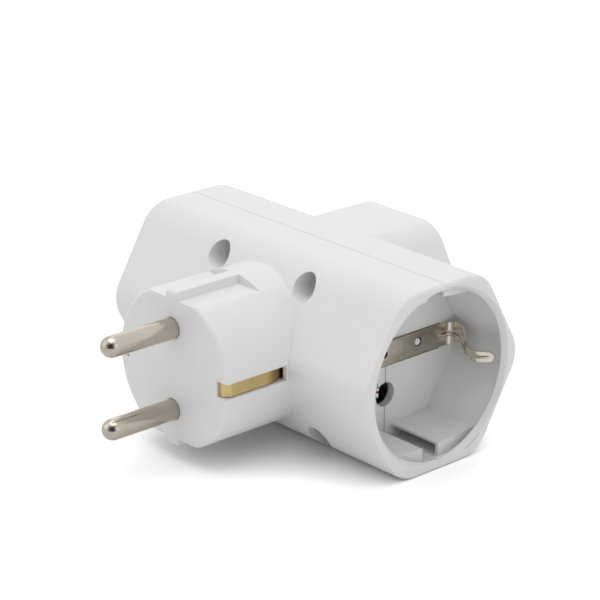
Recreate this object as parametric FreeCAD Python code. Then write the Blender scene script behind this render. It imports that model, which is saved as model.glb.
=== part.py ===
import FreeCAD, Part
import os
from math import atan2, cos, degrees, radians, sin, sqrt, tan

# A three-way mains adapter: a round two-pin plug at the front, one socket at
# each end of the cross barrel and a third socket at the back. Millimetres.
# Two moulded shells meet in the seam plane Y = 0 and are held by four screws.
# The pieces are drawn about the point where the barrel's axis and the plug's
# axis meet: X runs along the cross barrel, the plug points to -Y, the rear
# socket opens to +Y and Z is up. The part's own origin is the centre of the
# plug's face, and each piece is moved there as it is written.

Vector = FreeCAD.Vector
ORIGIN = Vector(0, 0, 0)
X_AXIS = Vector(1, 0, 0)
Y_AXIS = Vector(0, 1, 0)
Z_AXIS = Vector(0, 0, 1)

# Housing
barrel_corner_radius = 8.6
rear_floor = 10.4
wall_between_sockets = 2.2044
rim_fillet = 0.9
wall = 2.0
seam_gap = 0.08
seam_depth = 0.2
floor_seam_gap = 0.14

# Socket recess, the same at all three sockets: a six-sided room behind a round mouth
recess_wall = 1.2
recess_depth = 17.5
mouth_radius = 19.5
mouth_wall = 2.0
mouth_lip = 1.3
lead_in_depth = 0.9
lead_in_widening = 0.5
pad_flat_inset = 2.4
pad_setback = 3.1
pad_gap = 4.8
pad_draft = 3.6
pad_roof = 0.6
pad_front_wall = 0.8
pin_entry_diameter = 5.7

# Plug body
plug_radius = 18.1
plug_face = 40.8
plug_face_fillet = 0.9
plug_flat = 16.1
plug_flat_length = 17.5
key_rib_base = 3.9
key_rib_top = 3.2
plug_front_wall = 2.5

# Plug pins
pin_diameter = 4.8
pin_length = 19.0
pin_pitch = 19.0
pin_fit = 0.05
pin_waist_diameter = 4.4
pin_ring_depth = 0.3
pin_boss_radius = 4.0
pin_boss_length = 10.3
pin_collar_diameter = 6.4
pin_collar_length = 1.5
pin_tail_diameter = 3.0
pin_tail_head = 4.4
pin_tail_head_length = 0.8
pin_bore_diameter = 2.8
pin_bore_start = 5.0
pin_tail_bore = 1.6
pin_web_thickness = 1.6
pin_web_setback = 2.0

# Earth bracket of the plug, one folded strip with an arm on each side
bracket_thickness = 0.8
bracket_width = 3.0
bracket_inset = 0.8
bracket_front_setback = 0.4
bracket_front_fold = 2.25
bracket_joggle = 1.95
bracket_joggle_start = 27.3
bracket_joggle_end = 21.6
bracket_bend = 1.4
bracket_eye_diameter = 5.6
slot_width = 3.5
slot_front_clearance = 0.25
slot_rear_end = 23.8
slot_window_start = 28.4
slot_window_cover = 1.2
slot_undercut = 2.4
slot_pocket_length = 2.3
slot_outer_reach = 3.0
ledge_thickness = 1.8
ledge_margin = 1.7

# Earth strip in each socket, with one spring clip at each end
strip_thickness = 0.7
strip_width = 5.4
strip_bend = 1.5
strip_rise = 0.5
strip_spread = 0.5
strip_hole_diameter = 2.2
strip_hole_offset = 9.3
strip_hole_rise = 0.4
clip_shoulder = 5.0
clip_shoulder_bend = 3.0
clip_crest_setback = 4.1
clip_crest_inset = 7.2
clip_crest_bend = 3.0
clip_tip_setback = 0.7
clip_tip_inset = 3.2
clip_tongue_width = 2.4
clip_tongue_drop = 0.25
clip_neck_start = 4.2
clip_neck_end = 6.4
clip_neck_bend = 1.0
bead_width = 1.0
bead_height = 0.35
bead_floor_length = 3.4
bead_setback = 2.1
pip_diameter = 1.6
pip_offset = 9.1

# Earth link behind the socket floors, and the three tubular rivets
link_thickness = 0.7
link_width = 5.0
link_arm_end = 3.15
link_bend = 1.4
rivet_diameter = 2.9
rivet_bore = 1.9
rivet_flare_diameter = 3.9
rivet_flare_depth = 0.5
rivet_head_diameter = 4.6
rivet_head_thickness = 0.7
rivet_fit = 0.05
side_rivet_offset = 1.1

# Pin contacts, riveted to the two busbars
contact_thickness = 0.5
contact_share = 0.4082
contact_setback = 2.0
contact_jaw_gap = 4.86
contact_web_height = 3.1
contact_lip_depth = 3.3
contact_lip_flare = 0.6
contact_lip_length = 1.3
contact_bend = 0.7
contact_foot_share = 0.2122
contact_slit = 0.6
contact_slit_top = 1.4
contact_rivet_diameter = 2.0
contact_rivet_head = 3.4
contact_rivet_head_thickness = 0.45
contact_rivet_margin = 1.9
contact_rivet_fit = 0.05

# Busbars
busbar_thickness = 1.0
busbar_width = 6.4
busbar_bend = 1.2
busbar_front = 15.0
busbar_arm_margin = 0.4
busbar_drop = 3.9
busbar_rib_clearance = 0.5
busbar_rib_thickness = 1.4
busbar_rib_gap = 0.1
busbar_rib_reach = 6.0

# Assembly screws along Y, two above and two below the plug's axis
upper_screw_x = 14.1
upper_screw_gap = 3.35
lower_screw_x = 18.9
lower_screw_gap = 4.7
screw_recess_diameter = 6.1
screw_seat = 7.0
screw_tube_wall = 1.2
screw_boss_radius = 2.7
screw_head_diameter = 5.5
screw_head_height = 2.2
screw_head_edge = 0.7
screw_shank_diameter = 2.9
screw_clearance_diameter = 3.2
screw_pilot_diameter = 3.0
screw_end_margin = 2.5
screw_point = 1.2
screw_pilot_spare = 0.9
screw_cross_length = 3.2
screw_cross_width = 0.7
screw_cross_depth = 1.2

# Worked out from the dimensions above
half_height = mouth_radius + mouth_wall
barrel_across_flats = 2 * half_height
corner_share = 2 / sqrt(3)
room_reach = corner_share * (half_height - recess_wall)
room_reach -= (corner_share - 1) * (barrel_corner_radius - recess_wall)
side_floor = room_reach + wall_between_sockets
side_face = side_floor + recess_depth
rear_face = rear_floor + recess_depth
barrel_length = 2 * side_face
pad_flat = mouth_radius - pad_flat_inset
pad_length = recess_depth - pad_setback
strip_half_length = mouth_radius + strip_spread
clip_crest_reach = recess_depth - clip_crest_setback
clip_crest_height = strip_half_length - clip_crest_inset
clip_tip_reach = recess_depth - clip_tip_setback
clip_tip_height = strip_half_length - clip_tip_inset
bead_end = recess_depth - bead_setback
pin_offset = pin_pitch / 2
pin_radius = pin_diameter / 2
pin_waist_radius = pin_waist_diameter / 2
plug_room_front = plug_front_wall - plug_face
pin_boss_end = plug_room_front + pin_boss_length
bracket_side = plug_radius - bracket_inset
bracket_front_end = bracket_side - bracket_front_fold
bracket_inner = bracket_side - bracket_joggle
slot_front_end = bracket_front_end - slot_front_clearance
ledge_top = bracket_side - bracket_thickness
arm_middle = bracket_side - bracket_thickness / 2
arm_front = bracket_front_setback + bracket_thickness / 2 - plug_face
link_side = side_floor - wall - link_thickness / 2
link_back = rear_floor - wall - link_thickness / 2
bracket_web = rear_floor - wall - link_thickness - bracket_thickness / 2
contact_length = contact_share * side_floor
contact_foot = contact_foot_share * side_floor
contact_near = -wall - contact_setback
contact_far = contact_near - contact_length
foot_end = contact_far - contact_foot
foot_rivet = foot_end + contact_rivet_margin
contact_top = pin_offset + contact_web_height + contact_thickness
busbar_top = contact_top + busbar_thickness
upper_screw_z = contact_top + upper_screw_gap
lower_screw_z = -contact_top - lower_screw_gap
busbar_rib_outer = side_floor + foot_rivet - contact_rivet_head / 2 - busbar_rib_clearance
screw_reach = rear_floor - screw_end_margin

# Each socket: its name, the way it opens and the distance of its floor
sockets = [
    ("right", X_AXIS, side_floor),
    ("rear", Y_AXIS, rear_floor),
    ("left", -X_AXIS, side_floor),
]
# Where each earth rivet sits across its socket: at the sides, ahead of the seam
rivet_places = {"right": -side_rivet_offset, "rear": 0.0, "left": side_rivet_offset}
# Each assembly screw: its name and its axis
screws = [
    ("upper_right_screw", upper_screw_x, upper_screw_z),
    ("upper_left_screw", -upper_screw_x, upper_screw_z),
    ("lower_right_screw", lower_screw_x, lower_screw_z),
    ("lower_left_screw", -lower_screw_x, lower_screw_z),
]


def box(x_range, y_range, z_range):
    corner = Vector(x_range[0], y_range[0], z_range[0])
    length, width, height = [high - low for low, high in (x_range, y_range, z_range)]
    return Part.makeBox(length, width, height, corner)


def rod(radius, start, end):
    """A round rod from one point to another."""
    return Part.makeCylinder(radius, (end - start).Length, start, end - start)


def joined(shapes):
    return shapes[0].multiFuse(shapes[1:]).removeSplitter()


def turned(shape, angle, axis=Z_AXIS):
    copy = shape.copy()
    copy.rotate(ORIGIN, axis, angle)
    return copy


def moved(shape, x=0.0, y=0.0, z=0.0):
    copy = shape.copy()
    copy.translate(Vector(x, y, z))
    return copy


def mirrored(shape, normal):
    return shape.mirror(ORIGIN, normal)


def on_all_four(shape):
    """A piece of the first quarter of XZ, and its mirror images in the other three."""
    pair = [shape, mirrored(shape, X_AXIS)]
    return pair + [mirrored(piece, Z_AXIS) for piece in pair]


def along_x(shape):
    """Turn a piece drawn in XY and extruded along Z, so that X, Y, Z become Y, Z, X."""
    return turned(shape, 120, Vector(1, 1, 1))


def facing(shape, way):
    """Turn a piece made to open to +X about Z until it opens the given way."""
    return turned(shape, degrees(atan2(way.y, way.x)))


def at_socket(shape, way, floor):
    """Place a piece made with its socket's floor in the plane X = 0, opening to +X."""
    return facing(moved(shape, x=floor), way)


def corner_arc(before, corner, after, radius, offset=0.0):
    """Start, middle and end of one bend, at an offset to the left of the path."""
    arriving = (corner - before).normalize()
    leaving = (after - corner).normalize()
    side = 1 if arriving.cross(leaving).z > 0 else -1
    cut_back = radius * tan(arriving.getAngle(leaving) / 2)
    start_normal = Z_AXIS.cross(arriving)
    end_normal = Z_AXIS.cross(leaving)
    start = corner - arriving * cut_back
    end = corner + leaving * cut_back
    centre = start + start_normal * (side * radius)
    middle = centre + (corner - centre).normalize() * (radius - side * offset)
    return start + start_normal * offset, middle, end + end_normal * offset


def rounded_outline(points, radii):
    """A flat face in XY, rounded at each corner whose radius isn't 0."""
    corners = [Vector(x, y, 0) for x, y in points]
    bends = []
    for index, radius in enumerate(radii):
        corner = corners[index]
        after = corners[(index + 1) % len(corners)]
        if radius:
            bends.append(corner_arc(corners[index - 1], corner, after, radius))
        else:
            bends.append((corner, None, corner))
    edges = []
    for index, (start, middle, end) in enumerate(bends):
        if middle:
            edges.append(Part.Arc(start, middle, end).toShape())
        following = bends[(index + 1) % len(bends)][0]
        edges.append(Part.LineSegment(end, following).toShape())
    return Part.Face(Part.Wire(edges))


def bent_side(path, radii, offset):
    """The edges along one side of a bent strip, and their first and last points."""
    first = path[0] + Z_AXIS.cross((path[1] - path[0]).normalize()) * offset
    last = path[-1] + Z_AXIS.cross((path[-1] - path[-2]).normalize()) * offset
    edges = []
    here = first
    for index, radius in enumerate(radii):
        before, corner, after = path[index:index + 3]
        start, middle, end = corner_arc(before, corner, after, radius, offset)
        edges.append(Part.LineSegment(here, start).toShape())
        edges.append(Part.Arc(start, middle, end).toShape())
        here = end
    edges.append(Part.LineSegment(here, last).toShape())
    return edges, first, last


def bent_strip(points, radii, thickness, width, shift=0.0):
    """Sheet bent along a path in XY and centred on Z = 0, shifted to the path's left."""
    path = [Vector(x, y, 0) for x, y in points]
    left, left_first, left_last = bent_side(path, radii, shift + thickness / 2)
    right, right_first, right_last = bent_side(path, radii, shift - thickness / 2)
    far_end = Part.LineSegment(left_last, right_last).toShape()
    near_end = Part.LineSegment(right_first, left_first).toShape()
    outline = Part.Wire(left + [far_end] + right[::-1] + [near_end])
    return moved(Part.Face(outline).extrude(Vector(0, 0, width)), z=-width / 2)


def turned_profile(points):
    """A solid of revolution about X, from points of distance along X and radius."""
    outline = Part.makePolygon([Vector(x, radius, 0) for x, radius in points + points[:1]])
    return Part.Face(outline).revolve(ORIGIN, X_AXIS, 360)


def rim_edges(shape, axis, place):
    """The edges of an end face, which lies at a place along an axis."""
    return [
        edge for edge in shape.Edges
        if all(abs(vertex.Point.dot(axis) - place) < 1e-6 for vertex in edge.Vertexes)
    ]


def hexagon_bar(half, corner_radius, start, end):
    """A six-sided bar along X with flats above and below and rounded corners."""
    point = 2 * half / sqrt(3)
    angles = [radians(60 * step) for step in range(6)]
    corners = [(point * cos(angle), point * sin(angle)) for angle in angles]
    face = rounded_outline(corners, [corner_radius] * len(corners))
    return moved(along_x(face.extrude(Vector(0, 0, end - start))), x=start)


# Housing: one outer form with its hollows and inner features, parted at the seam

def barrels():
    cross = hexagon_bar(half_height, barrel_corner_radius, -side_face, side_face)
    rims = rim_edges(cross, X_AXIS, side_face) + rim_edges(cross, X_AXIS, -side_face)
    cross = cross.makeFillet(rim_fillet, rims)
    rear = hexagon_bar(half_height, barrel_corner_radius, 0, rear_face)
    rear = rear.makeFillet(rim_fillet, rim_edges(rear, X_AXIS, rear_face))
    return joined([cross, facing(rear, Y_AXIS)])


def plug_body():
    """The round body, cut flat above and below at its front, with a key rib left standing."""
    body = rod(plug_radius, Vector(0, -plug_face, 0), ORIGIN)
    body = body.makeFillet(plug_face_fillet, rim_edges(body, Y_AXIS, -plug_face))
    beyond = plug_radius + 1
    taper = (key_rib_base - key_rib_top) / (plug_radius - plug_flat)
    top = key_rib_base - taper * (beyond - plug_flat)
    corners = [(key_rib_base / 2, plug_flat), (beyond, plug_flat), (beyond, beyond), (top / 2, beyond)]
    outline = Part.makePolygon([Vector(x, -plug_face - 1, z) for x, z in corners + corners[:1]])
    flat = Part.Face(outline).extrude(Vector(0, plug_flat_length + 1, 0))
    return body.cut(on_all_four(flat))


def recess(rivet_place):
    """What one socket takes away: its room, less two split hollow pads, its mouth and the floor's holes."""
    back_of_lip = recess_depth - mouth_lip
    room = hexagon_bar(half_height - recess_wall, barrel_corner_radius - recess_wall, 0, back_of_lip)
    near = pad_gap / 2
    wide = barrel_across_flats
    slope = tan(radians(pad_draft))
    low = pad_flat - (wide - near) * slope
    corners = [(near, pad_flat), (wide, low), (wide, wide), (near, wide)]
    outline = Part.makePolygon([Vector(-1, y, z) for y, z in corners + corners[:1]])
    pad = Part.Face(outline).extrude(X_AXIS * (pad_length + 1))
    roof = pad_flat + pad_roof
    corners = [(0, roof + near * slope), (wide, low + pad_roof), (wide, wide), (0, wide)]
    outline = Part.makePolygon([Vector(-1, y, z) for y, z in corners + corners[:1]])
    hollow = Part.Face(outline).extrude(X_AXIS * (pad_length - pad_front_wall + 1))
    pad = pad.cut(hollow)
    pads = [pad, mirrored(pad, Y_AXIS)]
    pads += [mirrored(piece, Z_AXIS) for piece in pads]
    mouth = rod(mouth_radius, Vector(back_of_lip - 1, 0, 0), Vector(recess_depth + 1, 0, 0))
    lead_in_start = Vector(recess_depth - lead_in_depth, 0, 0)
    mouth_edge = mouth_radius + lead_in_widening
    lead_in = Part.makeCone(mouth_radius, mouth_edge, lead_in_depth, lead_in_start, X_AXIS)
    behind = Vector(-wall - 1, 0, 0)
    ahead = Vector(1, 0, 0)
    rivet = Vector(0, rivet_place, strip_rise)
    holes = [rod(rivet_diameter / 2 + rivet_fit, behind + rivet, ahead + rivet)]
    for height in (Z_AXIS * pin_offset, Z_AXIS * -pin_offset):
        holes.append(rod(pin_entry_diameter / 2, behind + height, ahead + height))
    return joined([room.cut(pads), mouth, lead_in] + holes)


def inner_room():
    """The room for the contacts, from the plug's front wall to the rear socket's floor."""
    side = side_floor - wall
    reach = side_face
    room = hexagon_bar(half_height - wall, barrel_corner_radius - wall, -side, side)
    room = room.common(box((-reach, reach), (-reach, rear_floor - wall), (-reach, reach)))
    nose = rod(plug_radius - wall, Vector(0, plug_room_front, 0), ORIGIN)
    height = plug_flat - wall
    nose = nose.common(box((-reach, reach), (plug_room_front, 0), (-height, height)))
    return joined([room, nose])


def pin_supports():
    """Two bosses behind the plug's face, on a web that reaches the body's flats."""
    front = plug_room_front - plug_front_wall / 2
    half = pin_web_thickness / 2
    height = plug_flat - wall / 2
    pieces = [box((-half, half), (front, pin_boss_end - pin_web_setback), (-height, height))]
    for z in (pin_offset, -pin_offset):
        pieces.append(rod(pin_boss_radius, Vector(0, front, z), Vector(0, pin_boss_end, z)))
    return pieces


def pin_holes():
    """Holes of the pins' waists, which the body is moulded round, each with a shallow ring at the face."""
    holes = []
    for z in (pin_offset, -pin_offset):
        start = Vector(0, -plug_face - 1, z)
        holes.append(rod(pin_waist_radius, start, Vector(0, pin_boss_end + 1, z)))
        holes.append(rod(pin_radius + pin_fit, start, Vector(0, pin_ring_depth - plug_face, z)))
    return holes


def bracket_ledges():
    """The ledge inside the plug body that each arm of the earth bracket lies on."""
    half = slot_width / 2 + ledge_margin
    front = plug_room_front - plug_front_wall / 2
    ledge = box((ledge_top - ledge_thickness, ledge_top), (front, -slot_window_start), (-half, half))
    return [ledge, mirrored(ledge, X_AXIS)]


def bracket_slots():
    """The channel of each arm, a pocket behind its front bend and a window where it dips inside."""
    path = [(slot_front_end, arm_front), (arm_middle, arm_front), (arm_middle, -slot_rear_end)]
    depth = bracket_thickness / 2 + slot_outer_reach
    shift = bracket_thickness / 2 - depth / 2
    channel = bent_strip(path, [bracket_bend], depth, slot_width, shift)
    half = slot_width / 2
    inner = plug_radius - wall - 1
    cover = plug_radius - slot_window_cover
    window = box((inner, cover), (-slot_window_start, slot_undercut - slot_rear_end), (-half, half))
    bend_back = arm_front + bracket_thickness / 2
    pocket = box((bracket_front_end, ledge_top), (bend_back, bend_back + slot_pocket_length), (-half, half))
    slot = joined([channel, window, pocket])
    return [slot, mirrored(slot, X_AXIS)]


def screw_supports(outer):
    """A tube round each screw's recess and a boss round its shank, kept inside the outer form."""
    tube_radius = screw_recess_diameter / 2 + screw_tube_wall
    tube_end = screw_tube_wall - screw_seat
    boss_end = rear_floor - wall / 2
    pieces = []
    for name, x, z in screws:
        tube = rod(tube_radius, Vector(x, -half_height, z), Vector(x, tube_end, z))
        boss = rod(screw_boss_radius, Vector(x, tube_end - screw_tube_wall / 2, z), Vector(x, boss_end, z))
        pieces += [tube.common(outer), boss.common(outer)]
    return pieces


def screw_holes():
    holes = []
    for name, x, z in screws:
        seat = Vector(x, -screw_seat, z)
        seam = Vector(x, 0, z)
        pilot_end = Vector(x, screw_reach + screw_pilot_spare, z)
        holes.append(rod(screw_recess_diameter / 2, Vector(x, -plug_face, z), seat))
        holes.append(rod(screw_clearance_diameter / 2, seat - Y_AXIS, seam))
        holes.append(rod(screw_pilot_diameter / 2, seam, pilot_end))
    return holes


def busbar_ribs():
    """Two ribs above and two below, which keep the busbars on their seats."""
    inner = busbar_rib_outer - busbar_rib_thickness
    bottom = busbar_top + busbar_rib_gap
    depth = (-busbar_rib_reach, rear_floor - wall / 2)
    rib = box((inner, busbar_rib_outer), depth, (bottom, half_height - wall / 2))
    return on_all_four(rib)


def strip_pips():
    """Pips on every socket's floor, which locate its earth strip."""
    pips = []
    for name, way, floor in sockets:
        for side in (pip_offset, -pip_offset):
            root = Vector(-wall / 2, side, strip_rise + strip_hole_rise)
            pip = rod(pip_diameter / 2, root, root + X_AXIS * (wall / 2 + strip_thickness))
            pips.append(at_socket(pip, way, floor))
    return pips


def seam_grooves():
    """The fine line where the shells meet: on the flats, the rims and in the side recesses."""
    gap = (-seam_gap / 2, seam_gap / 2)
    floor_gap = (-floor_seam_gap / 2, floor_seam_gap / 2)
    beyond = side_face + 1
    inside = half_height - recess_wall + seam_depth
    grooves = []
    for flip in (1, -1):
        flat = sorted((flip * (half_height - seam_depth), flip * (half_height + 1)))
        rim = sorted((flip * (side_face - seam_depth), flip * beyond))
        deep = sorted((flip * (side_floor - seam_depth), flip * beyond))
        floor = sorted((flip * (side_floor - 2 * seam_depth), flip * side_floor))
        grooves.append(box((-beyond, beyond), gap, flat))
        grooves.append(box(rim, gap, (-half_height, half_height)))
        grooves.append(box(deep, gap, (-inside, inside)))
        grooves.append(box(floor, floor_gap, (-inside, inside)))
    return grooves


def housing():
    outer = joined([barrels(), plug_body()])
    hollows = [at_socket(recess(rivet_places[name]), way, floor) for name, way, floor in sockets]
    shell = outer.cut(inner_room())
    shell = joined([shell] + pin_supports() + bracket_ledges() + screw_supports(outer) + busbar_ribs())
    shell = shell.cut(hollows + pin_holes() + bracket_slots() + screw_holes())
    shell = joined([shell] + strip_pips())
    return shell.cut(seam_grooves())


def half_of(shape, side):
    """The part of a shape in front of the seam, side -1, or behind it, side 1."""
    reach = 2 * barrel_length
    depth = sorted((0, side * reach))
    return shape.common(box((-reach, reach), depth, (-reach, reach)))


# Plug side

def plug_pin():
    """A hollow turned pin along the plug's axis: round tip, waist in its boss, collar and tail."""
    tip_centre = pin_radius - plug_face - pin_length
    shoulder = -busbar_front - busbar_thickness / 2
    tail = shoulder + busbar_thickness
    end = tail + pin_tail_head_length
    collar = pin_boss_end
    collar_end = collar + pin_collar_length
    bore = pin_bore_diameter / 2
    bore_start = pin_bore_start - plug_face - pin_length
    bore_end = shoulder - busbar_thickness
    points = [
        (tip_centre, 0), (tip_centre, pin_radius), (-plug_face, pin_radius), (-plug_face, pin_waist_radius),
        (collar, pin_waist_radius), (collar, pin_collar_diameter / 2),
        (collar_end, pin_collar_diameter / 2), (collar_end, pin_radius),
        (shoulder, pin_radius), (shoulder, pin_tail_diameter / 2),
        (tail, pin_tail_diameter / 2), (tail, pin_tail_head / 2),
        (end, pin_tail_head / 2), (end, pin_tail_bore / 2), (bore_end, pin_tail_bore / 2),
        (bore_end, bore), (bore_start, bore), (bore_start, 0),
    ]
    tip = Part.makeSphere(pin_radius, Vector(tip_centre, 0, 0))
    return turned(joined([turned_profile(points), tip]), 90)


def rear_rivet_hole(place):
    centre = Vector(0, place, strip_rise)
    return rod(rivet_diameter / 2 + rivet_fit, centre - Y_AXIS, centre + Y_AXIS)


def earth_bracket():
    """One strip: an arm along each side of the plug, and a web with an eye for the rear rivet."""
    arm = [
        (bracket_front_end, arm_front), (arm_middle, arm_front), (arm_middle, -bracket_joggle_start),
        (bracket_inner, -bracket_joggle_end), (bracket_inner, bracket_web),
    ]
    path = arm + [(-x, y) for x, y in reversed(arm)]
    bends = [bracket_bend] * (len(path) - 2)
    bracket = bent_strip(path, bends, bracket_thickness, bracket_width)
    eye_back = Vector(0, bracket_web - bracket_thickness / 2, strip_rise)
    eye = rod(bracket_eye_diameter / 2, eye_back, eye_back + Y_AXIS * bracket_thickness)
    return joined([bracket, eye]).cut(rear_rivet_hole(bracket_web))


# Earth parts of the sockets

def earth_link():
    """A folded strip that joins the three earth strips behind their floors."""
    path = [
        (link_side, -link_arm_end), (link_side, link_back),
        (-link_side, link_back), (-link_side, -link_arm_end),
    ]
    link = moved(bent_strip(path, [link_bend, link_bend], link_thickness, link_width), z=strip_rise)
    side_rivets = Vector(0, -side_rivet_offset, strip_rise)
    reach = Vector(link_side + 1, 0, 0)
    across = rod(rivet_diameter / 2 + rivet_fit, side_rivets - reach, side_rivets + reach)
    return link.cut([across, rear_rivet_hole(link_back)])


def clip_path():
    """Half of an earth strip's path, from its bend at the floor to the tip of the clip."""
    leg = strip_half_length - strip_thickness / 2
    return [
        (strip_thickness / 2, leg), (clip_shoulder, leg),
        (clip_crest_reach, clip_crest_height), (clip_tip_reach, clip_tip_height),
    ]


def clip_blank():
    """The strip's outline seen along Y: a wide leg that narrows to a round-ended tongue."""
    wide = strip_width / 2
    narrow = clip_tongue_width / 2
    end = clip_tip_reach + strip_thickness / 4
    outline = [(-1, wide), (clip_neck_start, wide), (clip_neck_end, narrow), (end, narrow)]
    bends = [0, clip_neck_bend, clip_neck_bend, narrow * 0.95]
    drops = [0, 0, clip_tongue_drop, clip_tongue_drop]
    upper = [(x, z - drop) for (x, z), drop in zip(outline, drops)]
    lower = [(x, -z - drop) for (x, z), drop in zip(outline, drops)][::-1]
    face = rounded_outline(lower + upper, bends[::-1] + bends)
    reach = strip_half_length
    return turned(moved(face.extrude(Vector(0, 0, 2 * reach)), z=-reach), 90, X_AXIS)


def earth_strip(rivet_place):
    """The strip on a socket's floor, bent up at both ends into sprung clips."""
    half = clip_path()
    path = [(x, -y) for x, y in reversed(half)] + half
    clip_bends = [strip_bend, clip_shoulder_bend, clip_crest_bend]
    bends = clip_bends[::-1] + clip_bends
    strip = bent_strip(path, bends, strip_thickness, strip_width)
    bead_depth = strip_thickness / 2 + bead_height
    bead = bent_strip(path, bends, bead_depth, bead_width, -bead_depth / 2)
    start = half[0][1] - bead_floor_length
    gap = box((-1, bead_end), (-start, start), (-strip_width, strip_width))
    tips = box((bead_end, recess_depth), (-mouth_radius, mouth_radius), (-strip_width, strip_width))
    strip = strip.common(clip_blank())
    strip = joined([strip, bead.cut([gap, tips])])
    flare_start = strip_thickness - rivet_flare_depth
    hole_radius = rivet_diameter / 2 + rivet_fit
    flare_radius = rivet_flare_diameter / 2 + rivet_fit
    flare = Vector(flare_start, rivet_place, 0)
    holes = [
        rod(hole_radius, Vector(-1, rivet_place, 0), Vector(1, rivet_place, 0)),
        Part.makeCone(hole_radius, flare_radius, rivet_flare_depth, flare, X_AXIS),
    ]
    for side in (strip_hole_offset, -strip_hole_offset):
        hole = Vector(0, side, strip_hole_rise)
        holes.append(rod(strip_hole_diameter / 2, hole - X_AXIS, hole + X_AXIS))
    return moved(strip.cut(holes), z=strip_rise)


def earth_rivet(stack):
    """A tubular rivet through the floor: a head behind a stack of strips, a flush flare ahead."""
    radius = rivet_diameter / 2
    back = -wall - stack
    points = [
        (back - rivet_head_thickness, rivet_bore / 2), (back - rivet_head_thickness, rivet_head_diameter / 2),
        (back, rivet_head_diameter / 2), (back, radius), (strip_thickness - rivet_flare_depth, radius),
        (strip_thickness, rivet_flare_diameter / 2), (strip_thickness, rivet_bore / 2),
    ]
    return turned_profile(points)


# Contacts and busbars of the upper pole; the lower pole is their mirror image

def pin_contact():
    """A sprung box contact: two slit jaws under a web, which runs on as a riveted foot."""
    jaw = contact_jaw_gap / 2 + contact_thickness / 2
    web = contact_web_height + contact_thickness / 2
    lip_top = contact_lip_length - contact_lip_depth
    half = [(jaw + contact_lip_flare, -contact_lip_depth), (jaw, lip_top), (jaw, web)]
    path = half + [(-x, y) for x, y in reversed(half)]
    jaws = along_x(bent_strip(path, [contact_bend] * 4, contact_thickness, contact_length))
    jaws = moved(jaws, x=(contact_near + contact_far) / 2)
    foot_half = jaw - contact_bend
    height = (contact_web_height, contact_web_height + contact_thickness)
    foot = box((foot_end, contact_near), (-foot_half, foot_half), height)
    middle = (contact_near + contact_far) / 2
    reach = 2 * jaw
    slit = box(
        (middle - contact_slit / 2, middle + contact_slit / 2), (-reach, reach),
        (-2 * contact_lip_depth, contact_slit_top),
    )
    hole = rod(
        contact_rivet_diameter / 2 + contact_rivet_fit, Vector(foot_rivet, 0, 0),
        Vector(foot_rivet, 0, 2 * contact_web_height),
    )
    return moved(joined([jaws, foot]).cut([slit, hole]), z=pin_offset)


def contact_rivet():
    """A solid rivet that clamps a contact's foot to the busbar."""
    start = pin_offset + contact_web_height
    head = contact_rivet_head_thickness
    radius = contact_rivet_diameter / 2
    points = [
        (start - head, 0), (start - head, contact_rivet_head / 2),
        (start, contact_rivet_head / 2), (start, radius),
        (busbar_top, radius), (busbar_top, contact_rivet_head / 2),
        (busbar_top + head, contact_rivet_head / 2), (busbar_top + head, 0),
    ]
    return moved(turned(turned_profile(points), -90, Y_AXIS), x=foot_rivet)


def busbar():
    """A T of flat strip over the contacts, its stem folded down to the plug pin's tail."""
    half = busbar_width / 2
    middle = busbar_top - busbar_thickness / 2
    low = pin_offset - busbar_drop
    path = [(half, middle), (-busbar_front, middle), (-busbar_front, low)]
    stem = along_x(bent_strip(path, [busbar_bend], busbar_thickness, busbar_width))
    reach = side_floor + foot_rivet + contact_rivet_head / 2 + busbar_arm_margin
    arms = box((-reach, reach), (-half, half), (contact_top, busbar_top))
    holes = []
    for name, way, floor in sockets:
        start = Vector(foot_rivet, 0, contact_top - 1)
        hole = rod(contact_rivet_diameter / 2 + contact_rivet_fit, start, start + Z_AXIS * 3)
        holes.append(at_socket(hole, way, floor))
    tail_start = Vector(0, -busbar_front - busbar_thickness, pin_offset)
    tail_hole = rod(pin_tail_diameter / 2 + pin_fit, tail_start, tail_start + Y_AXIS * 2 * busbar_thickness)
    return joined([stem, arms]).cut(holes + [tail_hole])


# Fasteners

def assembly_screw():
    """A self-tapping pan-head screw along +Y with a cross recess, seated in its tube."""
    seat = -screw_seat
    top = seat - screw_head_height
    radius = screw_head_diameter / 2
    shank = screw_shank_diameter / 2
    points = [
        (top, 0), (top, radius - screw_head_edge), (top + screw_head_edge, radius), (seat, radius),
        (seat, shank), (screw_reach - screw_point, shank), (screw_reach, 0),
    ]
    screw = turned(turned_profile(points), 90)
    long_half = screw_cross_length / 2
    short_half = screw_cross_width / 2
    depth = (top - 1, top + screw_cross_depth)
    cross = [
        box((-long_half, long_half), depth, (-short_half, short_half)),
        box((-short_half, short_half), depth, (-long_half, long_half)),
    ]
    return screw.cut(cross)


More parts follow.
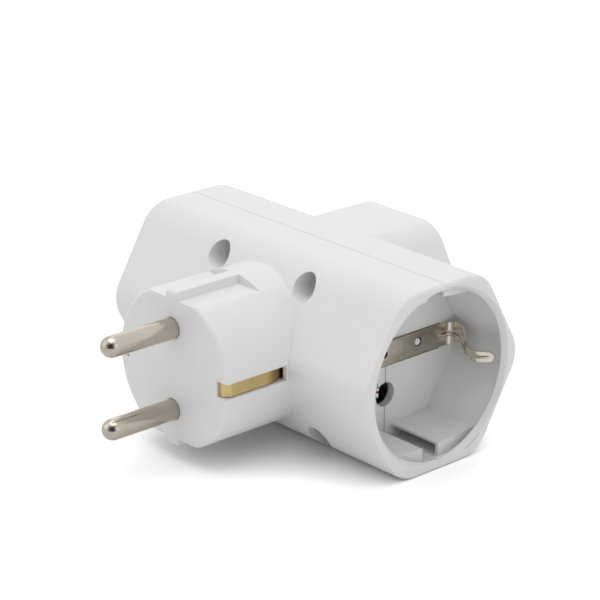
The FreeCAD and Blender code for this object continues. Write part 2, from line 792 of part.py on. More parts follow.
def build_parts():
    """Every piece by its name, about the point where the two axes meet."""
    shell = housing()
    parts = {"front_shell": half_of(shell, -1), "rear_shell": half_of(shell, 1)}
    pin = moved(plug_pin(), z=pin_offset)
    bar = busbar()
    contact = pin_contact()
    pole_rivet = contact_rivet()
    upper_and_lower = {"upper": lambda piece: piece, "lower": lambda piece: mirrored(piece, Z_AXIS)}
    for pole, placed in upper_and_lower.items():
        parts[f"{pole}_plug_pin"] = placed(pin)
        parts[f"{pole}_busbar"] = placed(bar)
        for name, way, floor in sockets:
            parts[f"{name}_{pole}_contact"] = placed(at_socket(contact, way, floor))
            parts[f"{name}_{pole}_contact_rivet"] = placed(at_socket(pole_rivet, way, floor))
    parts["plug_earth_bracket"] = earth_bracket()
    parts["earth_link"] = earth_link()
    for name, way, floor in sockets:
        stack = link_thickness
        if name == "rear":
            stack += bracket_thickness
        place = rivet_places[name]
        rivet = moved(earth_rivet(stack), y=place, z=strip_rise)
        parts[f"{name}_earth_strip"] = at_socket(earth_strip(place), way, floor)
        parts[f"{name}_earth_rivet"] = at_socket(rivet, way, floor)
    for name, x, z in screws:
        parts[name] = moved(assembly_screw(), x=x, z=z)
    return parts


os.makedirs("parts", exist_ok=True)
for name, shape in build_parts().items():
    moved(shape, y=plug_face).exportStep(f"parts/{name}.step")
    print(name, len(shape.Solids), shape.isValid(), round(shape.Volume, 1))
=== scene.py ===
import bmesh
import bpy
from math import pi, radians, sin, tan
from mathutils import Matrix, Vector


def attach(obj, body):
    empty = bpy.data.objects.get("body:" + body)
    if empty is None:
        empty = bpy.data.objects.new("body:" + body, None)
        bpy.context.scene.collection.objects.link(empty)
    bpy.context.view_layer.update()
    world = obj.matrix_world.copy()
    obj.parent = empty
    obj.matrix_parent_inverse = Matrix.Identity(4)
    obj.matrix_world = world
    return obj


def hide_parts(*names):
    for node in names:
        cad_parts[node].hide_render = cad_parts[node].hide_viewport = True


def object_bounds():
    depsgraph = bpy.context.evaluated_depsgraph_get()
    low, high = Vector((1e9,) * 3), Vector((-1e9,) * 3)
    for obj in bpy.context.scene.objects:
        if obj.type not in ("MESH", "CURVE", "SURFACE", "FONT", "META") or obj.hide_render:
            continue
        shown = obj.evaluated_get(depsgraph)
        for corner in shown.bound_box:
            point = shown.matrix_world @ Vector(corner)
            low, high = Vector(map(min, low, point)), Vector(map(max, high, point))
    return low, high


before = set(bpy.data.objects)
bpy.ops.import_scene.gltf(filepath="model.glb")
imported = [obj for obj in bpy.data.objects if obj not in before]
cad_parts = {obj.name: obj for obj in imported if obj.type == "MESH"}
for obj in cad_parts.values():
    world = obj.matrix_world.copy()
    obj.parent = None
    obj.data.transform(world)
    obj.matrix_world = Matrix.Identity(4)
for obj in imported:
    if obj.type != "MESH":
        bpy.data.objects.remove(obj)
cad_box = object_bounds()

MM = 0.001


def linear(colour):
    """An sRGB hex colour as Blender's linear red, green, blue and alpha."""
    channels = [int(colour[start:start + 2], 16) / 255 for start in (1, 3, 5)]
    curved = [c / 12.92 if c <= 0.04045 else ((c + 0.055) / 1.055) ** 2.4 for c in channels]
    return (*curved, 1.0)


def node(tree, kind, settings=None, links=None, **values):
    """Add a node: settings are its own properties, values its inputs, and links what feeds an input."""
    added = tree.nodes.new(kind)
    for name, value in (settings or {}).items():
        setattr(added, name, value)
    for name, value in values.items():
        added.inputs[name.replace("_", " ")].default_value = value
    for name, source in (links or {}).items():
        tree.links.new(source, added.inputs[name])
    return added


def new_material(name):
    material = bpy.data.materials.new(name)
    material.use_nodes = True
    material.node_tree.nodes.clear()
    return material, material.node_tree


# Housing: white thermoplastic, injection moulded against a lightly polished steel mould. The eye sees a
# soft broad gloss, a very faint waviness and eased edges. The grain is about 0.4 mm, coarser than the
# real one, which is too fine to show.
def moulded_white():
    material, tree = new_material("moulded_white_plastic")
    place = node(tree, "ShaderNodeTexCoord")
    flow = node(
        tree, "ShaderNodeTexNoise", {"noise_dimensions": "3D"}, {"Vector": place.outputs["Object"]},
        Scale=45.0, Detail=3.0, Roughness=0.5,
    )
    tone = node(tree, "ShaderNodeValToRGB", None, {"Fac": flow.outputs["Fac"]})
    tone.color_ramp.elements[0].position = 0.3
    tone.color_ramp.elements[0].color = linear("#EAEAEA")
    tone.color_ramp.elements[1].position = 0.7
    tone.color_ramp.elements[1].color = linear("#EDEDED")
    grain = node(
        tree, "ShaderNodeTexNoise", {"noise_dimensions": "3D"}, {"Vector": place.outputs["Object"]},
        Scale=2600.0, Detail=2.0, Roughness=0.6,
    )
    gloss = node(
        tree, "ShaderNodeMapRange", None, {"Value": flow.outputs["Fac"]},
        From_Min=0.3, From_Max=0.7, To_Min=0.38, To_Max=0.44,
    )
    edges = node(tree, "ShaderNodeBevel", {"samples": 6}, None, Radius=0.32 * MM)
    bump = node(
        tree, "ShaderNodeBump", None, {"Height": grain.outputs["Fac"], "Normal": edges.outputs["Normal"]},
        Strength=0.05, Distance=0.02 * MM,
    )
    shader = node(
        tree, "ShaderNodeBsdfPrincipled", None,
        {
            "Base Color": tone.outputs["Color"],
            "Roughness": gloss.outputs["Result"],
            "Normal": bump.outputs["Normal"],
        },
        IOR=1.49,
    )
    node(tree, "ShaderNodeOutputMaterial", None, {"Surface": shader.outputs["BSDF"]})
    return material


def metal(name, dark, light, rough, stretch=(1.0, 1.0, 1.0), browned_from=None):
    """A polished metal: a slow drift of tone and gloss, and faint rubbed streaks along one axis.

    Past the distance browned_from behind the plug's face, in millimetres, it is browned as in the photograph.
    """
    material, tree = new_material(name)
    place = node(tree, "ShaderNodeTexCoord")
    drawn = node(tree, "ShaderNodeMapping", None, {"Vector": place.outputs["Object"]})
    drawn.inputs["Scale"].default_value = stretch
    cloud = node(
        tree, "ShaderNodeTexNoise", {"noise_dimensions": "3D"}, {"Vector": drawn.outputs["Vector"]},
        Scale=260.0, Detail=2.0, Roughness=0.5,
    )
    tone = node(tree, "ShaderNodeValToRGB", None, {"Fac": cloud.outputs["Fac"]})
    tone.color_ramp.elements[0].position = 0.3
    tone.color_ramp.elements[0].color = linear(dark)
    tone.color_ramp.elements[1].position = 0.7
    tone.color_ramp.elements[1].color = linear(light)
    colour = tone.outputs["Color"]
    # past the given distance behind the plug's face the tone is multiplied darker and browner
    if browned_from is not None:
        spot = node(tree, "ShaderNodeSeparateXYZ", None, {"Vector": place.outputs["Object"]})
        inside = node(
            tree, "ShaderNodeMapRange", None, {"Value": spot.outputs["Y"]},
            From_Min=browned_from * MM, From_Max=(browned_from + 2.0) * MM,
        )
        browned = node(
            tree, "ShaderNodeMixRGB", {"blend_type": "MULTIPLY"},
            {"Fac": inside.outputs["Result"], "Color1": colour}, Color2=linear("#CDBEB2"),
        )
        colour = browned.outputs["Color"]
    gloss = node(
        tree, "ShaderNodeMapRange", None, {"Value": cloud.outputs["Fac"]},
        From_Min=0.3, From_Max=0.7, To_Min=rough, To_Max=rough + 0.05,
    )
    streaks = node(
        tree, "ShaderNodeTexNoise", {"noise_dimensions": "3D"}, {"Vector": drawn.outputs["Vector"]},
        Scale=1400.0, Detail=2.0, Roughness=0.5,
    )
    bump = node(
        tree, "ShaderNodeBump", None, {"Height": streaks.outputs["Fac"]}, Strength=0.12, Distance=0.01 * MM,
    )
    shader = node(
        tree, "ShaderNodeBsdfPrincipled", None,
        {"Base Color": colour, "Roughness": gloss.outputs["Result"], "Normal": bump.outputs["Normal"]},
        Metallic=1.0,
    )
    node(tree, "ShaderNodeOutputMaterial", None, {"Surface": shader.outputs["BSDF"]})
    return material


white = moulded_white()
# Nickel plate over polished brass: a warm grey mirror, rubbed a little along the pin by use.
nickel = metal("nickel_plated_brass", "#B8B0A4", "#C9C1B5", 0.16, (1.0, 0.12, 1.0))
# Nickel plate over rolled spring strip: duller than the pins, with the rolling's fine grain.
strip_metal = metal("nickel_plated_spring_strip", "#AEA799", "#BFB8AA", 0.24, (0.3, 0.3, 1.0))
# The same strip, brighter and smoother on the clips' bends, legs and tongues: a painted highlight.
clip_painted_highlight = metal("spring_clip_painted_highlight", "#CFC9BC", "#E0DACD", 0.19, (0.3, 0.3, 1.0))
# Rolled brass strip, left bare: yellow, satin, darker and browner past 11.8 mm behind the plug's face.
bare_brass = metal("bare_brass", "#CDB67C", "#DDC892", 0.26, (1.0, 0.2, 1.0), 11.8)
# Copper alloy of the socket contacts: dull and a little red, made dark as painted shade of their deep holes.
copper_painted_shade = metal("copper_contact_painted_shade", "#8E5049", "#A46857", 0.48)
# Zinc plate on cold-headed steel: a cool pale grey with a soft gloss.
zinc = metal("zinc_plated_steel", "#B4B4B2", "#C8C8C5", 0.3)


# The same white plastic, darker and rough, for hairlines and narrow gaps: painted shade, with a faint random
# mottle.
def shade_painted_plastic(name, dark, light):
    material, tree = new_material(name)
    place = node(tree, "ShaderNodeTexCoord")
    mottle = node(
        tree, "ShaderNodeTexNoise", {"noise_dimensions": "3D"}, {"Vector": place.outputs["Object"]},
        Scale=900.0, Detail=2.0, Roughness=0.6,
    )
    tone = node(tree, "ShaderNodeValToRGB", None, {"Fac": mottle.outputs["Fac"]})
    tone.color_ramp.elements[0].position = 0.3
    tone.color_ramp.elements[0].color = linear(dark)
    tone.color_ramp.elements[1].position = 0.7
    tone.color_ramp.elements[1].color = linear(light)
    shader = node(
        tree, "ShaderNodeBsdfPrincipled", None, {"Base Color": tone.outputs["Color"]},
        Roughness=0.7, IOR=1.49,
    )
    node(tree, "ShaderNodeOutputMaterial", None, {"Surface": shader.outputs["BSDF"]})
    return material


# darker copies of the white plastic: painted shade in a rim hairline and painted shadow beside the strips
hairline_painted_shade = shade_painted_plastic("painted_shade_hairline_in_plastic", "#7E7B79", "#A19F9C")
gap_painted_shadow = shade_painted_plastic("painted_shadow_gap_in_plastic", "#4C4A44", "#5E5C55")


def finished(shape, name, finish, slot, *stands_for):
    """Turn a bmesh drawn in millimetres into a piece of the adapter that may stand for CAD nodes."""
    bmesh.ops.scale(shape, vec=(MM, MM, MM), verts=shape.verts)
    mesh = bpy.data.meshes.new(name)
    shape.to_mesh(mesh)
    shape.free()
    mesh.materials.append(finish)
    piece = bpy.data.objects.new(name, mesh)
    bpy.context.scene.collection.objects.link(piece)
    if stands_for:
        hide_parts(*stands_for)
    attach(piece, "root")
    return piece


def settle(piece):
    """Turn a piece's modifiers into its mesh, and return that mesh."""
    bpy.context.view_layer.update()
    ready = piece.evaluated_get(bpy.context.evaluated_depsgraph_get())
    whole = bpy.data.meshes.new_from_object(ready)
    piece.modifiers.clear()
    piece.data = whole
    return whole


def even_shading(piece):
    """Give the wide flat faces their own true normals, so that only the curves between them shade."""
    weighted = piece.modifiers.new("even", "WEIGHTED_NORMAL")
    weighted.keep_sharp = True
    weighted.weight = 100
    settle(piece)


def smooth_by_angle(shape, crease=32):
    for face in shape.faces:
        face.smooth = True
    for edge in shape.edges:
        edge.smooth = edge.is_manifold and edge.calc_face_angle(0.0) < radians(crease)


def extend(shape, row, by):
    """Pull a row of points along in a straight run, and return the new row."""
    edges = list({edge for point in row for edge in point.link_edges if all(v in row for v in edge.verts)})
    pulled = bmesh.ops.extrude_edge_only(shape, edges=edges)["geom"]
    new_row = [part for part in pulled if isinstance(part, bmesh.types.BMVert)]
    bmesh.ops.translate(shape, verts=new_row, vec=by)
    return new_row


def bend(shape, row, centre, angle, steps):
    """Swing a row of points round an upright axis, as a strip is bent round a former."""
    edges = list({edge for point in row for edge in point.link_edges if all(v in row for v in edge.verts)})
    swung = bmesh.ops.spin(
        shape, geom=row + edges, cent=(*centre, 0), axis=(0, 0, 1), angle=angle, steps=steps,
        use_duplicate=False,
    )["geom_last"]
    return [part for part in swung if isinstance(part, bmesh.types.BMVert)]


# Places and sizes of the CAD model, in millimetres
PLUG_FACE_TO_AXIS = 40.8
# each socket's turn in degrees, its floor and its rivet's place across the strip
SOCKETS = {"right": (0, 24.5, -1.1), "rear": (90, 10.4, 0.0), "left": (180, 24.5, 1.1)}
SIDE_FACE = 42.0
REAR_FACE = 27.9
STRIP_HALF_LENGTH = 20.0
STRIP_HOLE_PLACES = (9.3, -9.3)
STRIP_HOLE_RISE = 0.4
STRIP_RISE = 0.5
STRIP_THICKNESS = 0.7
STRIP_HALF_WIDTH = 2.7
# how far the two clips' tongues sit below the strip's middle, as the photograph shows them
TONGUE_DROPS = (1.1, 0.0)
# the mouth's lead-in and the floor's seam, in the CAD model and as they show in the photograph
CAD_LEAD_IN_RADIUS, LEAD_IN_RADIUS = 20.0, 20.5
CAD_LEAD_IN_DEPTH, LEAD_IN_DEPTH = 0.9, 1.22
MOUTH_RADIUS = 19.5
CAD_SEAM_HALF_GAP, SEAM_WIDENING = 0.07, 0.09


def rotate_to_socket(shape, turn, floor):
    """Take a piece drawn on a socket floor in the plane X = 0, opening to +X, to its socket."""
    bmesh.ops.translate(shape, verts=shape.verts, vec=(floor, 0, 0))
    bmesh.ops.rotate(shape, verts=shape.verts, cent=(0, 0, 0), matrix=Matrix.Rotation(radians(turn), 3, "Z"))
    bmesh.ops.translate(shape, verts=shape.verts, vec=(0, PLUG_FACE_TO_AXIS, 0))


def half_strip(drop):
    """Half of an earth strip as a surface, with its bead: floor, bend, leg, shoulder, crest and tongue."""
    shape = bmesh.new()
    side = [0.05, 0.1, 0.15, 0.2, 0.3, 0.62, 0.93, 1.0]
    heights = [-height for height in reversed(side)] + [0.0] + side
    raised = {0: 0.38, 1: 0.34, 2: 0.2, 3: 0.05}
    row = [shape.verts.new((STRIP_THICKNESS / 2, 0, height * STRIP_HALF_WIDTH)) for height in heights]
    for low, high in zip(row, row[1:]):
        shape.edges.new((low, high))
    row = extend(shape, row, (0, 7.2, 0))
    row = extend(shape, row, (0, 7.2, 0))
    row = extend(shape, row, (0, 0.9, 0))
    for share in (0.15, 0.35, 0.35, 0.15):
        row = extend(shape, row, (0, 0.3, 0))
        for point in row:
            step = round(abs(point.co.z) / STRIP_HALF_WIDTH * 20)
            point.co.x += share * raised.get(step, 0.0)
    leg = STRIP_HALF_LENGTH - STRIP_THICKNESS / 2
    fold = 1.9
    row = extend(shape, row, (0, leg - fold - 16.5, 0))
    row = bend(shape, row, (STRIP_THICKNESS / 2 + fold, leg - fold), radians(-90), 10)
    # the shoulder turns the leg inwards, the crest turns the tongue out again
    shoulder, crest, tip = Vector((5.0, leg)), Vector((11.5, 14.5)), Vector((15.5, 18.15))
    inward = (crest - shoulder).normalized()
    outward = (tip - crest).normalized()
    first_turn = Vector((1, 0)).angle_signed(inward)
    second_turn = inward.angle_signed(outward)
    radius = 3.0
    first_cut = radius * tan(abs(first_turn) / 2)
    second_cut = radius * tan(abs(second_turn) / 2)
    start = STRIP_THICKNESS / 2 + fold
    row = extend(shape, row, (shoulder.x - first_cut - start, 0, 0))
    row = bend(shape, row, (shoulder.x - first_cut, leg - radius), -abs(first_turn), 7)
    run = (crest - shoulder).length - first_cut - second_cut
    for share in (0.16, 0.17, 0.17, 0.25, 0.25):
        row = extend(shape, row, (*(inward * run * share), 0))
    arriving = crest - inward * second_cut
    side = Vector((-inward.y, inward.x)) * radius
    row = bend(shape, row, arriving + side, abs(second_turn), 12)
    run = (tip - crest).length - second_cut
    across = Vector((outward.y, -outward.x))
    for share in (0.35, 0.25, 0.18, 0.13, 0.09):
        row = extend(shape, row, (*(outward * run * share), 0))
        plain = [point for point in row if abs(point.co.z) > 0.7 * STRIP_HALF_WIDTH]
        level = sum(Vector(point.co.xy).dot(across) for point in plain) / len(plain)
        for point in row:
            excess = Vector(point.co.xy).dot(across) - level
            point.co.xy = Vector(point.co.xy) - across * excess * 0.7
    # the leg is a little wider above, and the tongue is drawn in and drops
    for point in shape.verts:
        if point.co.z > 0:
            point.co.z *= 1 + 0.18 * sin(pi * min(max((point.co.x - 0.9) / 3.3, 0.0), 1.0))
        progress = min(max((point.co.x - 4.2) / 2.6, 0.0), 1.0)
        ease = progress * progress * (3 - 2 * progress)
        point.co.z = point.co.z * (1 - 0.55 * ease) - drop * ease
    # the tongue's end is round
    for point in shape.verts:
        beyond = (Vector(point.co.xy) - tip).dot(outward) + 1.2
        if point.co.x > 13 and beyond > 0:
            ratio = min(beyond / 1.22, 1.0)
            point.co.z = -drop + (point.co.z + drop) * max(1 - ratio * ratio, 0.02) ** 0.5
    return shape


def earth_strip(name, turn, floor, rivet_place):
    """The strip on a socket's floor with a sprung clip at each end, punched and with its edges eased."""
    shape, other = [half_strip(drop) for drop in TONGUE_DROPS]
    bmesh.ops.scale(other, vec=(1, -1, 1), verts=other.verts)
    bmesh.ops.reverse_faces(other, faces=other.faces)
    half = bpy.data.meshes.new("half")
    other.to_mesh(half)
    other.free()
    shape.from_mesh(half)
    bpy.data.meshes.remove(half)
    bmesh.ops.remove_doubles(shape, verts=shape.verts, dist=0.001)
    bmesh.ops.recalc_face_normals(shape, faces=shape.faces)
    for face in shape.faces:
        face.smooth = True
    bmesh.ops.translate(shape, verts=shape.verts, vec=(0, 0, STRIP_RISE))
    rotate_to_socket(shape, turn, floor)
    piece = finished(shape, f"{name}_earth_strip_sprung", strip_metal, "strips", f"{name}_earth_strip")
    drill = bmesh.new()
    holes = [(rivet_place, 0.0, 1.5)] + [(across, STRIP_HOLE_RISE, 1.1) for across in STRIP_HOLE_PLACES]
    for across, up, radius in holes:
        turned = Matrix.Translation((0, across, up + STRIP_RISE)) @ Matrix.Rotation(radians(90), 4, "Y")
        bmesh.ops.create_cone(
            drill, cap_ends=True, segments=40, radius1=radius, radius2=radius, depth=6, matrix=turned,
        )
    rotate_to_socket(drill, turn, floor)
    bmesh.ops.scale(drill, vec=(MM, MM, MM), verts=drill.verts)
    drill_mesh = bpy.data.meshes.new("drill")
    drill.to_mesh(drill_mesh)
    drill.free()
    cutter = bpy.data.objects.new("drill", drill_mesh)
    bpy.context.scene.collection.objects.link(cutter)
    sheet = piece.modifiers.new("sheet", "SOLIDIFY")
    sheet.thickness = STRIP_THICKNESS * MM
    sheet.offset = 0.0
    punched = piece.modifiers.new("holes", "BOOLEAN")
    punched.object = cutter
    punched.solver = "EXACT"
    eased = piece.modifiers.new("eased", "BEVEL")
    eased.width = 0.09 * MM
    eased.segments = 2
    eased.limit_method = "ANGLE"
    eased.angle_limit = radians(50)
    whole = settle(piece)
    bpy.data.objects.remove(cutter)
    finish = bmesh.new()
    finish.from_mesh(whole)
    smooth_by_angle(finish, 45)
    # faces above the strip's floor part take the lighter copy, a painted highlight
    opens = Matrix.Rotation(radians(turn), 3, "Z") @ Vector((1, 0, 0))
    for face in finish.faces:
        spot = face.calc_center_median() / MM - Vector((0, PLUG_FACE_TO_AXIS, 0))
        face.material_index = int(spot.dot(opens) - floor > 1.0)
    finish.to_mesh(whole)
    finish.free()
    whole.materials.append(clip_painted_highlight)
    even_shading(piece)


def plug_pin(name, height):
    """A turned pin: a round tip, a straight barrel, and a fine shoulder where the body grips it."""
    shape = bmesh.new()
    tip = shape.verts.new((0, -19.0, height))
    swung = bmesh.ops.spin(
        shape, geom=[tip], cent=(0, -16.6, height), axis=(1, 0, 0), angle=radians(90), steps=14,
    )["geom_last"]
    row = [part for part in swung if isinstance(part, bmesh.types.BMVert)]
    runs = [(0, 1.2, 0), (0, 6.0, 0), (0, 9.32, 0), (0, 0.08, 0.08), (0, 0, 0.12), (0, 1.6, 0)]
    inward = 1 if row[0].co.z < height else -1
    for run in runs:
        pulled = bmesh.ops.extrude_vert_indiv(shape, verts=row)["verts"]
        bmesh.ops.translate(shape, verts=pulled, vec=(run[0], run[1], run[2] * inward))
        row = pulled
    bmesh.ops.spin(
        shape, geom=shape.verts[:] + shape.edges[:], cent=(0, 0, height), axis=(0, 1, 0), angle=radians(360),
        steps=72, use_merge=True,
    )
    bmesh.ops.remove_doubles(shape, verts=shape.verts, dist=0.001)
    bmesh.ops.holes_fill(shape, edges=[edge for edge in shape.edges if edge.is_boundary], sides=0)
    bmesh.ops.recalc_face_normals(shape, faces=shape.faces)
    smooth_by_angle(shape, 40)
    return finished(shape, f"{name}_turned", nickel, "plug_pins", name)


def dressed(name, finish, slot, crease=32):
    """A merged copy of a CAD node, which stands for it with smooth curves and its own finish."""
    shape = bmesh.new()
    shape.from_mesh(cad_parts[name].data)
    bmesh.ops.remove_doubles(shape, verts=shape.verts, dist=1e-6)
    for face in shape.faces:
        face.smooth = True
    for edge in shape.edges:
        edge.smooth = not edge.is_manifold or edge.calc_face_angle(0.0) < radians(crease)
    mesh = bpy.data.meshes.new(name + "_finished")
    shape.to_mesh(mesh)
    shape.free()
    mesh.materials.clear()
    mesh.materials.append(finish)
    piece = bpy.data.objects.new(name + "_finished", mesh)
    bpy.context.scene.collection.objects.link(piece)
    even_shading(piece)
    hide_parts(name)
    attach(piece, "root")
    return piece


def ease_mouths(shell):
    """Open the mouths' lead-in to its moulded width, and the floor's seam to the gap it shows."""
    for point in shell.data.vertices:
        spot = point.co / MM
        along = {"side": (abs(spot.x), Vector((spot.y - PLUG_FACE_TO_AXIS, spot.z))),
                 "rear": (spot.y - PLUG_FACE_TO_AXIS, Vector((spot.x, spot.z)))}
        for socket, (depth, across) in along.items():
            face = SIDE_FACE if socket == "side" else REAR_FACE
            if abs(depth - face) < 0.01 and abs(across.length - CAD_LEAD_IN_RADIUS) < 0.02:
                wide, deep = LEAD_IN_RADIUS, face
            elif abs(depth - face + CAD_LEAD_IN_DEPTH) < 0.01 and abs(across.length - MOUTH_RADIUS) < 0.02:
                wide, deep = MOUTH_RADIUS, face - LEAD_IN_DEPTH
            else:
                continue
            across = across.normalized() * wide
            if socket == "side":
                place = Vector((deep if spot.x > 0 else -deep, across.x + PLUG_FACE_TO_AXIS, across.y))
            else:
                place = Vector((across.x, deep + PLUG_FACE_TO_AXIS, across.y))
            point.co = place * MM
        seam = spot.y - PLUG_FACE_TO_AXIS
        if 24.0 < abs(spot.x) < 24.6 and abs(abs(seam) - CAD_SEAM_HALF_GAP) < 0.005:
            point.co.y += (SEAM_WIDENING if seam > 0 else -SEAM_WIDENING) * MM


def strip_painted_shadow(socket, turn, floor):
    """Thin dark sheets on the floor by the strip's edges and in its holes: painted shadow and shade."""
    shape = bmesh.new()
    for middle, width in ((-STRIP_HALF_WIDTH - 0.47, 0.22), (STRIP_HALF_WIDTH + 0.07, 0.1)):
        edge = bmesh.ops.create_cube(shape, size=1.0)["verts"]
        bmesh.ops.scale(shape, verts=edge, vec=(0.16, 33.4, width))
        bmesh.ops.translate(shape, verts=edge, vec=(-0.055, 0, STRIP_RISE + middle))
    for across in STRIP_HOLE_PLACES:
        spot = (0, across, STRIP_RISE + STRIP_HOLE_RISE)
        lying = Matrix.Translation(spot) @ Matrix.Rotation(radians(90), 4, "Y")
        bmesh.ops.create_cone(
            shape, cap_ends=True, segments=32, radius1=1.08, radius2=1.08, depth=0.1, matrix=lying,
        )
    rotate_to_socket(shape, turn, floor)
    return finished(shape, f"{socket}_strip_painted_shadow", gap_painted_shadow, "housing")


def rim_mark(socket, turn, floor):
    """A hairline witness of the mould insert on the rim outside the mouth: a short thin dark rod, painted
    shade.
    """
    shape = bmesh.new()
    ring = [shape.verts.new((17.5 + out, 20.65 + across, 0)) for out, across in
            ((0.012, 0), (0, 0.06), (-0.05, 0), (0, -0.06))]
    shape.edges.ensure_lookup_table()
    loop = [shape.edges.new((ring[index - 1], ring[index])) for index in range(4)]
    bmesh.ops.spin(
        shape, geom=ring + loop, cent=(0, 0, 0), axis=(1, 0, 0), angle=radians(13.7), steps=14,
    )
    bmesh.ops.rotate(shape, verts=shape.verts, cent=(0, 0, 0), matrix=Matrix.Rotation(radians(-66.9), 3, "X"))
    bmesh.ops.holes_fill(shape, edges=[edge for edge in shape.edges if edge.is_boundary], sides=0)
    bmesh.ops.recalc_face_normals(shape, faces=shape.faces)
    rotate_to_socket(shape, turn, floor)
    return finished(shape, f"{socket}_rim_mark", hairline_painted_shade, "housing")


finishes = {
    "shell": (white, "housing"), "busbar": (bare_brass, "contacts"),
    "contact": (copper_painted_shade, "contacts"), "contact_rivet": (nickel, "rivets"),
    "bracket": (bare_brass, "bracket"), "link": (strip_metal, "strips"), "earth_rivet": (nickel, "rivets"),
    "screw": (zinc, "screws"),
}
for name in sorted(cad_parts):
    endings = [ending for ending in finishes if name.endswith(ending)]
    if endings:
        piece = dressed(name, *finishes[max(endings, key=len)])
        if name.endswith("shell"):
            ease_mouths(piece)
for socket, (turn, floor_place, rivet_place) in SOCKETS.items():
    earth_strip(socket, turn, floor_place, rivet_place)
    rim_mark(socket, turn, floor_place)
    strip_painted_shadow(socket, turn, floor_place)
plug_pin("upper_plug_pin", 9.5)
plug_pin("lower_plug_pin", -9.5)

# Floor: one white sheet, on which the part stands
floor_mesh = bpy.data.meshes.new("floor")
sheet = bmesh.new()
bmesh.ops.create_grid(sheet, x_segments=1, y_segments=1, size=3.0)
bmesh.ops.translate(sheet, verts=sheet.verts, vec=(0, 0, cad_box[0].z))
sheet.to_mesh(floor_mesh)
sheet.free()
floor = bpy.data.objects.new("floor", floor_mesh)
bpy.context.scene.collection.objects.link(floor)


# White card under the lamps: the eye sees it burnt out to white, and dark only close under the object.
# Camera rays see it lifted, and an occlusion term deepens the shadow there, both fitted to the photograph.
def white_card():
    material, tree = new_material("white_card_floor")
    path = node(tree, "ShaderNodeLightPath")
    paper = node(tree, "ShaderNodeBsdfDiffuse", None, None, Color=linear("#FAFAFA"))
    near = node(tree, "ShaderNodeAmbientOcclusion", {"samples": 24}, None, Distance=30 * MM)
    depth = node(tree, "ShaderNodeValToRGB", None, {"Fac": near.outputs["AO"]})
    depth.color_ramp.elements[0].position = 0.1
    depth.color_ramp.elements[0].color = linear("#ACACAC")
    depth.color_ramp.elements[1].position = 0.5
    depth.color_ramp.elements[1].color = linear("#FFFFFF")
    seen = node(tree, "ShaderNodeBsdfDiffuse", None, {"Color": depth.outputs["Color"]})
    lift = node(tree, "ShaderNodeBsdfDiffuse", None, None, Color=linear("#B0B0B0"))
    bright = node(tree, "ShaderNodeAddShader")
    tree.links.new(seen.outputs[0], bright.inputs[0])
    tree.links.new(lift.outputs[0], bright.inputs[1])
    either = node(tree, "ShaderNodeMixShader", None, {"Fac": path.outputs["Is Camera Ray"]})
    tree.links.new(paper.outputs[0], either.inputs[1])
    tree.links.new(bright.outputs[0], either.inputs[2])
    node(tree, "ShaderNodeOutputMaterial", None, {"Surface": either.outputs[0]})
    return material


floor_mesh.materials.append(white_card())

# Camera: a long lens at the photograph's place, found from the plug pins and the barrel's rims
FOCAL_PIXELS = 2320.146
PHOTO_PIXELS = 600
camera_data = bpy.data.cameras.new("camera")
camera_data.sensor_width = 36.0
camera_data.sensor_fit = "HORIZONTAL"
camera_data.lens = FOCAL_PIXELS / PHOTO_PIXELS * camera_data.sensor_width
camera_data.clip_start = 0.01
camera_data.clip_end = 20.0
camera = bpy.data.objects.new("camera", camera_data)
bpy.context.scene.collection.objects.link(camera)
right = Vector((0.67760587, 0.73531234, 0.01288589))
up = Vector((-0.2684144, 0.23096063, 0.93520634))
forward = Vector((-0.68469263, 0.63716007, -0.3538687))
turn = Matrix((right, up, -forward)).transposed()
camera.matrix_world = Matrix.Translation(Vector((358.583, -296.215, 192.008)) * MM) @ turn.to_4x4()
bpy.context.scene.camera = camera


def softbox(name, place, aim, size, power):
    data = bpy.data.lights.new(name, "AREA")
    data.shape = "RECTANGLE"
    data.size, data.size_y = size
    data.energy = power
    lamp = bpy.data.objects.new(name, data)
    bpy.context.scene.collection.objects.link(lamp)
    lamp.location = place
    lamp.rotation_mode = "QUATERNION"
    lamp.rotation_quaternion = (Vector(aim) - Vector(place)).to_track_quat("-Z", "Y")


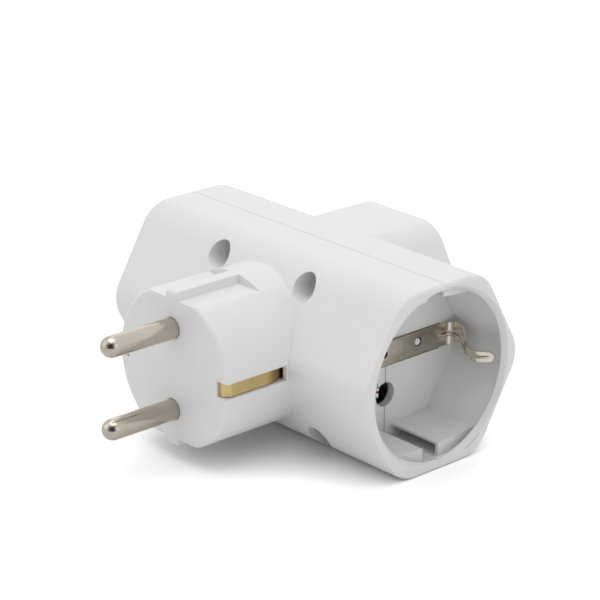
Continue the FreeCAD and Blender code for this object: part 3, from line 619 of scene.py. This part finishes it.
softbox("top_softbox", (0.0, 0.03, 0.9), (0, 0.03, 0), (0.9, 0.9), 3.3)
softbox("back_left_softbox", (-0.6, 0.7, 0.5), (0, 0.03, 0), (0.7, 0.7), 0.45)
softbox("front_left_softbox", (-0.6, -0.7, 0.5), (0, 0.03, 0), (0.7, 0.7), 0.68)
softbox("right_softbox", (0.95, 0.15, 0.3), (0, 0.03, 0), (0.7, 0.7), 0.53)

# World: white behind the object and soft on all sides. Glossy rays see it dark towards the camera's side,
# which is fitted to the dark streaks that the metals have in the photograph.
world = bpy.data.worlds.new("studio")
bpy.context.scene.world = world
world.use_nodes = True
world.node_tree.nodes.clear()
sky = world.node_tree
path = node(sky, "ShaderNodeLightPath")
around = node(sky, "ShaderNodeBackground", None, None, Color=linear("#FFFFFF"), Strength=0.555)
backdrop = node(sky, "ShaderNodeBackground", None, None, Color=linear("#FFFFFF"), Strength=1.0)
place = node(sky, "ShaderNodeTexCoord")
towards = node(
    sky, "ShaderNodeVectorMath", {"operation": "DOT_PRODUCT"}, {"Vector": place.outputs["Generated"]},
)
towards.inputs[1].default_value = -forward
reflected = node(sky, "ShaderNodeValToRGB", None, {"Fac": towards.outputs["Value"]})
reflected.color_ramp.elements[0].position = 0.55
reflected.color_ramp.elements[0].color = (0.95, 0.95, 0.95, 1)
reflected.color_ramp.elements[1].position = 0.92
reflected.color_ramp.elements[1].color = (0.05, 0.05, 0.05, 1)
room = node(sky, "ShaderNodeBackground", None, {"Color": reflected.outputs["Color"]}, Strength=1.0)
lit = node(sky, "ShaderNodeMixShader", None, {"Fac": path.outputs["Is Glossy Ray"]})
sky.links.new(around.outputs[0], lit.inputs[1])
sky.links.new(room.outputs[0], lit.inputs[2])
either = node(sky, "ShaderNodeMixShader", None, {"Fac": path.outputs["Is Camera Ray"]})
sky.links.new(lit.outputs[0], either.inputs[1])
sky.links.new(backdrop.outputs[0], either.inputs[2])
node(sky, "ShaderNodeOutputWorld", None, {"Surface": either.outputs[0]})

bpy.context.scene.view_settings.view_transform = "Standard"
